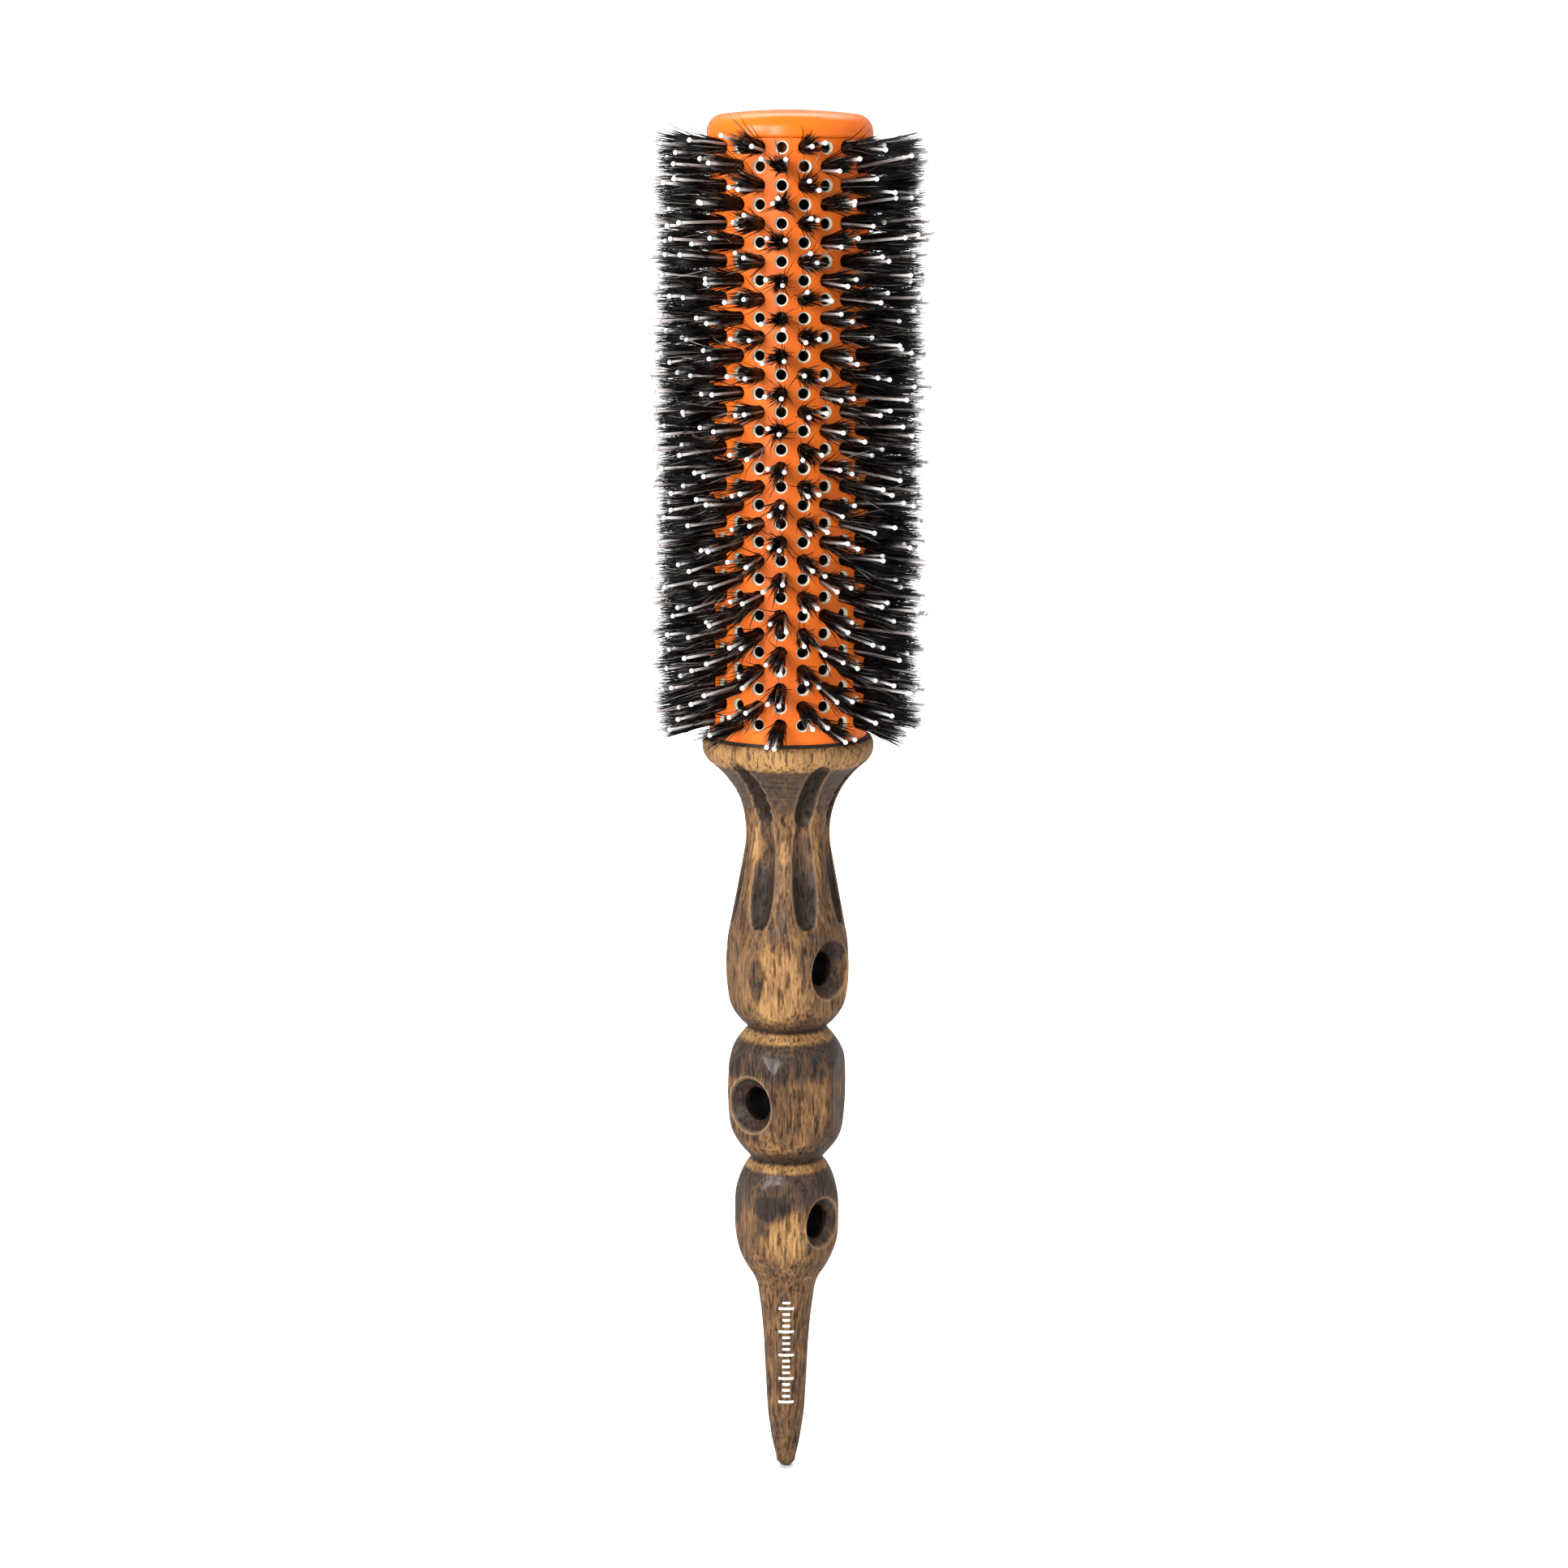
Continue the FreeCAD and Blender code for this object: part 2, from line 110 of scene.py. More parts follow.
def pole_closed(name, rings, rows, columns, poles):
    """Mesh of a stack of rings, closed by a fan to one point below and one above."""
    points = np.concatenate([rings.reshape(-1, 3), poles])
    first = np.arange(columns)
    after = (first + 1) % columns
    below, above = rows * columns, rows * columns + 1
    low_fan = np.stack([np.full(columns, below), after, first], -1)
    top = (rows - 1) * columns
    high_fan = np.stack([np.full(columns, above), top + first, top + after], -1)
    return new_mesh(name, points, [ring_faces(rows, columns), low_fan, high_fan])


def tapered_strands(name, paths, radii, sides, tone=None):
    """Many closed strands in one mesh. Each follows its path of points as a ring of a few sides at
    every point but the last, with the given radius, and ends in one point there."""
    count, stations = paths.shape[:2]
    along = np.gradient(paths, axis=1)
    along /= np.linalg.norm(along, axis=2, keepdims=True)
    across = np.cross(along, np.array([0.0, 0.0, 1.0]))
    across /= np.linalg.norm(across, axis=2, keepdims=True)
    upward = np.cross(across, along)
    turn = np.linspace(0, 2 * math.pi, sides, endpoint=False)
    wheel = (np.cos(turn)[None, None, :, None] * across[:, :, None]
             + np.sin(turn)[None, None, :, None] * upward[:, :, None])
    rings = paths[:, :, None] + radii[:, :, None, None] * wheel
    rings = rings[:, :-1]
    ring_points = (stations - 1) * sides
    per_strand = ring_points + 1
    points = np.concatenate([rings.reshape(count, ring_points, 3), paths[:, -1:]], axis=1)
    offset = (np.arange(count) * per_strand)[:, None, None]
    # the wheel turns the other way round the strand than the rings of a turned piece do
    quads = ring_faces(stations - 1, sides)[None, :, ::-1] + offset
    first = np.arange(sides)
    after = (first + 1) % sides
    last = (stations - 2) * sides
    tips = np.stack([last + after, last + first, np.full(sides, ring_points)], -1)[None] + offset
    root = np.arange(sides)[None, None, :] + offset
    faces = [quads.reshape(-1, 4), tips.reshape(-1, 3), root.reshape(-1, sides)]
    piece = new_mesh(name, points.reshape(-1, 3), faces)
    if tone is not None:
        write_attribute(piece, "tone", np.repeat(tone, per_strand))
    return piece


def write_attribute(piece, name, values):
    """A number for each point of a mesh, which its material reads by name."""
    attribute = piece.data.attributes.new(name, "FLOAT", "POINT")
    attribute.data.foreach_set("value", np.asarray(values, np.float32).ravel())


# ---------------------------------------------------------------- bristles and pins

def tuft_places(column):
    """Azimuth of a column, and the heights and leans of its tufts, one in every second row."""
    azimuth = FIRST_COLUMN + 2 * math.pi / COLUMNS * column
    rows = np.arange(ROWS)[(column + np.arange(ROWS)) % 2 == 0]
    height = LOWEST_ROW + rows * ROW_PITCH
    share = rows / (ROWS - 1)
    return azimuth, height, LEAN_LOW + (LEAN_TOP - LEAN_LOW) * share ** 0.85


def column_axes(azimuth):
    """Unit vectors of a column: out from the axis, around the barrel, and up."""
    out = np.array([math.sin(azimuth), -math.cos(azimuth), 0.0])
    around = np.array([math.cos(azimuth), math.sin(azimuth), 0.0])
    return out, around, np.array([0.0, 0.0, 1.0])


def wisp_bend(wisp, shape):
    """How far the tip of each hair bends aside: its wisp's share and a little of its own."""
    tuft = np.arange(shape[0])[:, None]
    shared = dice.normal(0, 0.35 * MM, (shape[0], WISPS))[tuft, wisp]
    return shared + dice.normal(0, 0.22 * MM, shape)


def bristle_tufts(column, stations=4):
    """One column of tufts. A hair starts at a random place in its hole, runs out along the tuft's lean,
    spreads in proportion to where it starts, and bends a little by the square of the way along. Within
    a tuft the hairs cling together in wisps, each wisp with its own spread and bend, and some hairs
    are strays: thicker, shorter and more loose."""
    azimuth, height, lean = tuft_places(column)
    out, around, up = column_axes(azimuth)
    tufts = len(height)
    shape = (tufts, HAIRS)
    lean = (lean + dice.normal(0, math.radians(1.8), tufts))[:, None]
    swing = dice.normal(0, math.radians(2.4), tufts)[:, None]
    spoke = TUFT_RADIUS * np.sqrt(dice.random(shape))
    turn = dice.random(shape) * 2 * math.pi
    side, rise = spoke * np.cos(turn), spoke * np.sin(turn)
    stray = dice.random(shape) < STRAY_SHARE
    shortfall = np.abs(dice.normal(0, 1.9 * MM, shape)) * np.where(stray, 1.3, 1.0)
    length = TUFT_REACH - ROOT_RADIUS - shortfall
    wisp = (turn / (2 * math.pi) * WISPS).astype(int)
    tuft = np.arange(tufts)[:, None]
    spread = dice.uniform(0.6, 1.75, (tufts, WISPS))[tuft, wisp] + dice.normal(0, 0.12, shape)
    spread = np.where(stray, dice.uniform(1.4, 4.2, shape), spread)
    loose = np.where(stray, 3.2, 1.0)
    bend_side = wisp_bend(wisp, shape) * loose
    bend_rise = wisp_bend(wisp, shape) * loose
    way = np.linspace(0, 1, stations)
    reach = ROOT_RADIUS + length[:, :, None] * way
    free_length = TUFT_REACH - BARREL_RADIUS
    free = np.clip((reach - BARREL_RADIUS) / free_length, 0, 1)
    run = free * free_length
    sideways = side[:, :, None] * (1 + spread[:, :, None] * free) + bend_side[:, :, None] * free ** 2
    sideways = sideways + run * np.tan(swing)[:, :, None]
    upwards = rise[:, :, None] * (1 + spread[:, :, None] * free) + bend_rise[:, :, None] * free ** 2
    upwards = height[:, None, None] + upwards - run * np.tan(lean)[:, :, None]
    upwards = np.minimum(upwards, HIGHEST_HAIR)
    distance = np.hypot(reach, sideways)
    reach = reach * np.minimum(1.0, LONGEST_HAIR / distance)
    paths = reach[..., None] * out + sideways[..., None] * around + upwards[..., None] * up
    paths = paths.reshape(-1, stations, 3)
    thickness = dice.uniform(*HAIR_RADII, shape) * np.where(stray, 1.35, 1.0)
    radii = thickness.reshape(-1, 1) * np.array([1.0, 1.0, 0.85, 0.0])[None, :]
    tone = dice.random(tufts * HAIRS)
    return tapered_strands("bristles_%02d" % (column + 1), paths, radii, 3, tone)


def ball_pins(column, sides=8):
    """One column of nylon pins, two to a tuft: a stem that tapers towards a ball. The outline is the
    stem's straight line and then the ball's circle, carried along each pin's own direction."""
    azimuth, height, lean = tuft_places(column)
    out, around, up = column_axes(azimuth)
    height = np.repeat(height, 2)
    count = len(height)
    edge = np.tile([-1.0, 1.0], count // 2)
    lean = np.repeat(lean, 2) + dice.normal(0, math.radians(3.0), count)
    splay = edge * math.radians(3.0) + dice.normal(0, math.radians(3.2), count)
    aim = (np.cos(lean) * np.cos(splay))[:, None] * out + np.sin(splay)[:, None] * around
    aim = aim - (np.sin(lean) * np.cos(splay))[:, None] * up
    root_side = edge * dice.uniform(0.5, 1.0, count) * MM
    root_rise = dice.normal(0, 0.45 * MM, count)
    root = ROOT_RADIUS * out + root_side[:, None] * around + (height + root_rise)[:, None] * up
    length = (dice.uniform(SHORTEST_PIN, LONGEST_PIN, count) - ROOT_RADIUS) / (aim @ out)
    latitude = np.linspace(-0.40, 0.46, 6) * math.pi
    ball_radius, ball_way = PIN_BALL * np.cos(latitude), PIN_BALL * np.sin(latitude)
    stem_way = np.linspace(0, 1, len(PIN_STEM))[None, :] * (length - 2 * PIN_BALL)[:, None]
    ball_ways = (length - PIN_BALL)[:, None] + ball_way[None, :]
    ways = np.concatenate([stem_way, ball_ways, length[:, None]], axis=1)
    radii = np.concatenate([PIN_STEM, ball_radius, [0.0]])
    paths = root[:, None] + ways[:, :, None] * aim[:, None]
    piece = tapered_strands("pins_%02d" % (column + 1), paths, np.tile(radii, (count, 1)), sides)
    share = np.concatenate([np.linspace(0, 0.82, len(PIN_STEM)), np.ones(len(latitude))])
    per_pin = np.concatenate([np.repeat(share, sides), [1.0]])
    write_attribute(piece, "along", np.tile(per_pin, count))
    return piece


# ---------------------------------------------------------------- wooden handle

# Turning table of the handle in millimetres, tail tip first: radius, height, and the radius of the
# curve that leads there, plus for convex, minus for hollow, 0 for straight, None for a domed end.
HANDLE_TURNING = [
    (0.0, 0.0, 0), (2.1, 2.4, None), (4.0, 15.0, 70.0), (4.55, 26.0, 0), (5.8, 38.8, -147.0),
    (7.4, 43.0, -10.0), (11.1, 55.6, 20.0), (8.3, 66.4, 20.0), (7.3, 67.6, 0), (8.6, 69.2, 0),
    (11.8, 74.5, 12.8), (12.85, 82.9, 37.0), (12.4, 88.1, 42.0), (9.0, 94.3, 16.0), (8.0, 95.5, 0),
    (9.0, 96.5, 0), (11.85, 100.5, 11.0), (12.85, 108.7, 30.0), (12.0, 116.0, 42.0), (8.98, 132.5, 0),
    (8.63, 136.3, -20.0), (15.7, 150.9, -18.6), (17.5, 154.4, 4.2), (17.1, 156.0, 2.6),
]
CAP_TURNING = [
    (0.0, 278.9, 0), (8.6, 278.9, 0), (8.6, 268.2, 0), (10.2, 268.2, 0), (10.2, 276.2, 0),
    (16.4, 276.2, 0), (16.6, 276.4, 0.2), (16.6, 277.6, 0), (13.0, 281.1, 3.6), (0.0, 281.9, None),
]


def sample_turning(table, step):
    """Outline of a turning table as points about a step apart; a curve is the circle through its two
    ends with the given radius, on the side that its sign says."""
    radius, height = [table[0][0]], [table[0][1]]
    for (r0, z0, _), (r1, z1, curve) in zip(table, table[1:]):
        chord = math.hypot(r1 - r0, z1 - z0)
        steps = max(1, round(chord / step))
        share = np.arange(1, steps + 1) / steps
        if curve is None:
            curve = ((r1 - r0) ** 2 + (z1 - z0) ** 2) / (2 * abs(z1 - z0))
        if curve == 0:
            radius += list(r0 + (r1 - r0) * share)
            height += list(z0 + (z1 - z0) * share)
            continue
        drop = math.sqrt(max(curve ** 2 - chord ** 2 / 4, 0)) * (1 if curve > 0 else -1)
        cr = (r0 + r1) / 2 - (z1 - z0) / chord * drop
        cz = (z0 + z1) / 2 + (r1 - r0) / chord * drop
        start, end = math.atan2(z0 - cz, r0 - cr), math.atan2(z1 - cz, r1 - cr)
        turn = wrapped(end - start)
        radius += list(cr + abs(curve) * np.cos(start + turn * share))
        height += list(cz + abs(curve) * np.sin(start + turn * share))
    return np.array(radius), np.array(height)


# Each bead: foot, head, flats' distance from the axis, bore's height, azimuth in degrees, and mouth's
# radius; in millimetres, as is everything about the handle until its mesh is made.
BEADS = {
    "upper": (96.5, 121.0, 11.3, 108.6, 51.0, 6.1),
    "middle": (68.5, 94.5, 11.15, 80.4, -43.0, 5.9),
    "lower": (42.0, 66.5, 9.55, 54.8, 51.0, 5.3),
}
BORE_RADIUS = 3.5
TAIL_END, COLLAR_TOP = 38.8, 156.0
# Above this height the flats of the upper bead ease outwards into the neck.
EASE_FOOT = 110.0
# Spigot and dowel, hidden in the barrel: radius and height.
SPIGOT_AND_DOWEL = np.array([
    (10.2, 156.0), (10.15, 156.2), (10.15, 175.2), (9.35, 176.0), (7.0, 176.0), (7.0, 275.2), (6.2, 276.0),
])
# Flutes are at an even pitch but for small errors, and their upper ends have strayed sideways.
FLUTES = 7
FLUTE_ERRORS = np.array([0, 0, 1.2, -1.5, 0.9, -1.1, 0.6])
FLUTE_AZIMUTHS = np.radians(-31.0 + 360 / FLUTES * np.arange(FLUTES) + FLUTE_ERRORS)
FLUTE_DRIFTS = np.radians([-7.0, 5.0, -3.0, 6.0, -5.5, 4.0, -6.0])
# Cuts of a flute. Leaf: foot, length, half width and depth. Scoop: foot, head, half width and depth.
LEAF = (117.6, 24.6, 2.8, 1.7)
SCOOP = (137.6, 152.2, 2.3, 1.5)
GOUGE_STEP = 2.7
# Dark turned band under the collar: its foot, and where the turning lines end.
BAND_FOOT, BAND_HEAD = 142.4, 151.3


def nearest_flute(azimuth, height):
    """Signed angle to the middle of the nearest flute, and which flute that is."""
    climb = np.clip((height - 139.0) / 12.0, 0, 1)[..., None]
    gap = wrapped(azimuth[..., None] - FLUTE_AZIMUTHS - climb * FLUTE_DRIFTS)
    which = np.abs(gap).argmin(-1)
    return np.take_along_axis(gap, which[..., None], -1)[..., 0], which


def flute_cuts(azimuth, height, radius):
    """Depth of the two gouge cuts of a flute, in millimetres, and how near a point is to their edges.
    Across a cut the depth falls off as the square of the distance from its middle. The lower cut is a
    leaf that is widest near its foot; the upper one has a round head and, in every second flute, steps
    where the gouge was set again and again."""
    gap, which = nearest_flute(azimuth, height)
    across = gap * radius
    leaf_foot, leaf_length, leaf_half, leaf_deepest = LEAF
    leaf = np.sin(math.pi * np.clip((height - leaf_foot) / leaf_length, 0, 1) ** 0.6)
    leaf_width, leaf_depth = leaf_half * leaf ** 0.42, leaf_deepest * leaf ** 0.6
    scoop_foot, scoop_head, scoop_half, scoop_deepest = SCOOP
    head = np.clip((scoop_head - height) / 2.0, 0, 1)
    foot = np.clip((height - scoop_foot) / 3.4, 0, 1)
    rounding = np.sqrt(1 - (1 - head) ** 2)
    step = ((height - 139.0 - 0.35 * np.abs(across)) / GOUGE_STEP) % 1.0
    stepped = np.where(which % 2 == 0, 1.0, 0.15)
    scoop_width = (scoop_half - 0.4 * stepped * step) * rounding * foot ** 0.4
    scoop_depth = (scoop_deepest - 0.6 * stepped * step * head) * rounding * foot ** 0.7
    cuts, rims = [], []
    for width, depth in ((leaf_width, leaf_depth), (scoop_width, scoop_depth)):
        safe = np.maximum(width, 1e-3)
        cuts.append(depth * np.clip(1 - (across / safe) ** 2, 0, None))
        rims.append(np.exp(-((np.abs(across) - width) / 0.2) ** 2) * (width > 0.5))
    deeper = np.maximum(cuts[0], cuts[1])
    rim = np.where(cuts[0] > cuts[1], rims[0], rims[1])
    return deeper, np.where(deeper > 0, rim, np.maximum(rims[0], rims[1]))


def bead_flats(azimuth, height, radius):
    """Radius once the flats are planed, six to a bead: a plane lies at flat / cos(angle from its
    middle), and the meeting of plane and bead is eased by a soft minimum."""
    planed = radius.copy()
    for foot, head, flat, _, bore, _ in BEADS.values():
        gap = (azimuth - math.radians(bore) + math.pi / 6) % (math.pi / 3) - math.pi / 6
        ease = 0.75 * (np.clip(height - EASE_FOOT, 0, 12) / 6.5) ** 2
        plane = (flat + ease) / np.cos(gap)
        soft = 0.12
        lower = -soft * np.logaddexp(-planed / soft, -plane / soft)
        here = (height > foot) & (height < head)
        planed = np.where(here, lower, planed)
    return planed


def handle_surface(azimuth, height, radius):
    """Radius of the carved handle from the turned one, with faint rings and flats of the lathe tool."""
    planed = bead_flats(azimuth, height, radius)
    cut, _ = flute_cuts(azimuth, height, radius)
    rings = np.sin(height * 5.3 + 0.6 * np.sin(azimuth * 3))
    chatter = 0.018 * rings * np.sin(azimuth * 2 + height * 0.21)
    fade = np.clip(radius / 3.0, 0, 1) * np.clip(COLLAR_TOP - height, 0, 1)
    return planed - cut + chatter * fade


def bore_cutter(name, height, azimuth, flat, mouth):
    """Cutter of a cross bore: a cylinder with a cone at each end, as one outline spun on its axis. The
    cone has rings close together so that the finish can change from the mouth inwards."""
    sink, far = mouth - BORE_RADIUS, 3.0
    cone = np.concatenate([[-far, 0.15], np.linspace(0.6, sink, 5)])
    bore = np.linspace(0, flat - sink, 7)[1:]
    half_radius = np.concatenate([[0], mouth - cone, np.full(len(bore), BORE_RADIUS)])
    half_span = np.concatenate([[flat + far], flat - cone, flat - sink - bore])
    radius = np.concatenate([half_radius, half_radius[-2::-1]]) * MM
    span = np.concatenate([-half_span, half_span[-2::-1]]) * MM
    cutter = turned_piece(name, radius, span, 72)
    facing = Matrix.Rotation(math.radians(azimuth - 90), 4, "Z") @ Matrix.Rotation(math.pi / 2, 4, "Y")
    cutter.data.transform(Matrix.Translation((0, 0, height * MM)) @ facing)
    cutter.data.polygons.foreach_set("use_smooth", np.zeros(len(cutter.data.polygons), bool))
    return cutter


def apply_modifiers(piece):
    """Replace a piece's mesh with what its modifiers make of it."""
    graph = bpy.context.evaluated_depsgraph_get()
    made = bpy.data.meshes.new_from_object(piece.evaluated_get(graph), depsgraph=graph)
    piece.modifiers.clear()
    piece.data = made


def carved_handle():
    """Turned outline spun on a fine grid, planed, gouged, and then bored across each bead."""
    tail = sample_turning([row for row in HANDLE_TURNING if row[1] <= TAIL_END], 1.1)
    rest = sample_turning([row for row in HANDLE_TURNING if row[1] >= TAIL_END], 0.38)
    radius, height = (np.concatenate([low, high[1:]]) for low, high in zip(tail, rest))
    columns = 232
    azimuth = np.linspace(0, 2 * math.pi, columns, endpoint=False)
    a, z, r = np.broadcast_arrays(azimuth, height[1:, None], radius[1:, None])
    rings = spun_points(handle_surface(a, z, r) * MM, z * MM, a)
    hidden_radius, hidden_height = SPIGOT_AND_DOWEL.T[:, :, None] * MM
    rings = np.concatenate([rings, spun_points(hidden_radius, hidden_height, azimuth[None, :])])
    poles = np.array([[0, 0, 0], [0, 0, SPIGOT_AND_DOWEL[-1, 1] * MM]])
    piece = pole_closed("beech_handle", rings, len(rings), columns, poles)
    cutters = []
    for bead, (_, _, flat, bore_height, bore_azimuth, mouth) in BEADS.items():
        cutter = bore_cutter("cutter_" + bead, bore_height, bore_azimuth, flat, mouth)
        drill = piece.modifiers.new(bead, "BOOLEAN")
        drill.operation, drill.solver, drill.object = "DIFFERENCE", "EXACT", cutter
        cutters.append(cutter)
    apply_modifiers(piece)
    for cutter in cutters:
        bpy.data.objects.remove(cutter)
    finish_handle(piece, radius, height)
    return piece


# How far the stain is rubbed through to golden wood, by height: 0 dark stain, 1 golden.
RUBBED = [
    (0, 0.46), (38, 0.46), (44, 0.46), (48, 0.52), (57, 0.52), (59.5, 0.20), (65.4, 0.12), (66.0, 0.80),
    (67.2, 0.80), (67.5, 0.0), (68.2, 0.0), (69.5, 0.22), (74, 0.38), (77, 0.44), (85, 0.42), (87.2, 0.12),
    (93.0, 0.10), (93.6, 0.80), (95.1, 0.80), (95.4, 0.0), (96.0, 0.0), (97.0, 0.22), (100, 0.44),
    (103, 0.52), (111, 0.52), (114.5, 0.46), (118, 0.44), (124, 0.46), (134, 0.52), (141.8, 0.52),
    (142.4, 0.34), (146.2, 0.32), (146.7, 0.20), (150.4, 0.20), (151.2, 0.82), (155, 0.86), (156, 0.7),
]
# Ovals of lighter or darker wood: azimuth in degrees, height, half width, half height, and the change.
PATCHES = [
    (-9.0, 105.5, 6.2, 8.2, 0.24), (-31.0, 107.0, 1.3, 4.7, -0.5), (28.0, 113.0, 3.2, 4.0, -0.12),
    (19.0, 79.5, 5.2, 6.6, 0.06), (-2.0, 73.0, 5.0, 2.4, 0.14), (-40.0, 71.5, 6.0, 1.6, 0.2),
    (-3.0, 52.6, 4.6, 5.4, 0.36), (-26.0, 56.6, 1.7, 4.2, -0.34), (-16.0, 58.4, 3.8, 2.6, -0.36),
    (-5.0, 133.5, 1.5, 2.3, 0.34), (-46.0, 134.0, 1.0, 4.6, 0.34), (40.0, 131.0, 0.9, 5.5, 0.24),
    (-4.0, 154.0, 4.0, 1.6, 0.18), (95.0, 106.0, 5.0, 7.0, 0.3), (160.0, 104.0, 5.5, 8.0, 0.28),
    (200.0, 80.0, 5.0, 6.5, 0.24), (-110.0, 82.0, 4.5, 6.0, 0.2), (150.0, 54.0, 4.5, 5.0, 0.34),
    (-95.0, 57.0, 3.0, 4.0, -0.4), (120.0, 86.0, 2.0, 4.0, -0.4),
]


def patch_change(azimuth, height, radius):
    """Sum of the patches: full inside an oval, gone outside it, with a soft edge between."""
    change = np.zeros_like(height)
    for middle, level, wide, tall, amount in PATCHES:
        gap = wrapped(azimuth - math.radians(middle))
        away = np.hypot(gap * radius / wide, (height - level) / tall)
        change += amount * np.clip((1.0 - away) / 0.4 + 0.5, 0, 1)
    return change


def finish_handle(piece, turned_radius, turned_height):
    """Attributes that the wood's finish reads: rubbed (golden, and lowered inside the bores as painted
    shade), gouged (dark, partly stain and partly painted shade), edge (pale line), hollow (depth inside
    a bore, painted as shade) and lathe (where the turning lines show). The dark band's foot is notched: it
    dips and rises with the distance from the nearest flute."""
    mesh = piece.data
    co = np.empty(len(mesh.vertices) * 3)
    mesh.vertices.foreach_get("co", co)
    co = co.reshape(-1, 3) / MM
    azimuth, height = np.arctan2(co[:, 0], -co[:, 1]), co[:, 2]
    own = np.hypot(co[:, 0], co[:, 1])
    blank = np.interp(height, turned_height, turned_radius)
    surface = handle_surface(azimuth, height, blank)
    cut, rim = flute_cuts(azimuth, height, blank)
    inside = np.clip((surface - own - 0.08) / 0.2, 0, 1) * (height < 120)
    hollow, mouth_edge = np.zeros_like(height), np.zeros_like(height)
    for _, _, flat, bore_height, bore_azimuth, mouth in BEADS.values():
        turn = math.radians(bore_azimuth)
        aside = co[:, 0] * math.cos(turn) + co[:, 1] * math.sin(turn)
        away = np.hypot(aside, height - bore_height)
        out = np.abs(co[:, 0] * math.sin(turn) - co[:, 1] * math.cos(turn))
        mouth_edge = np.maximum(mouth_edge, np.exp(-((away - mouth) / 0.2) ** 2) * (out > flat - 1.0))
        deep = np.clip((flat - (mouth - BORE_RADIUS) + 0.3 - out) / 1.6, 0, 1)
        hollow = np.maximum(hollow, deep * (np.abs(height - bore_height) < mouth))
    stations = np.array(RUBBED)
    gap, _ = nearest_flute(azimuth, height)
    notch = 2.4 * (np.abs(gap) * FLUTES / math.pi - 0.5) * np.exp(-((height - BAND_FOOT) / 1.6) ** 2)
    rubbed = np.interp(height + notch, stations[:, 0], stations[:, 1]) + patch_change(azimuth, height, blank)
    # gouges darken, partly stain and partly painted shade; the foot of a leaf and the whole of a scoop are
    # darkest
    leaf_dark, scoop_dark = (133.5 - height) / 8.0, (height - 137.0) / 4.0
    dark = np.clip(np.where(height < 137.0, leaf_dark, scoop_dark), 0.15, 1.0)
    # painted shade: the inside of each bore is made darker by lowering rubbed there
    write_attribute(piece, "rubbed", rubbed - 0.42 * inside)
    write_attribute(piece, "gouged", np.clip(cut / 0.35, 0, 1) * dark)
    write_attribute(piece, "edge", np.maximum(0.7 * rim * (cut < 0.5), mouth_edge * (inside < 0.5)))
    # painted shade: hollow is the depth inside a bore, which the finish turns near black
    write_attribute(piece, "hollow", hollow * inside)
    banded = np.clip((height + notch - BAND_FOOT + 0.4) / 0.4, 0, 1) * np.clip(BAND_HEAD - height, 0, 1)
    write_attribute(piece, "lathe", banded * (1 - np.clip(cut / 0.15, 0, 1)))
    mesh.set_sharp_from_angle(angle=math.radians(38))


# ---------------------------------------------------------------- materials

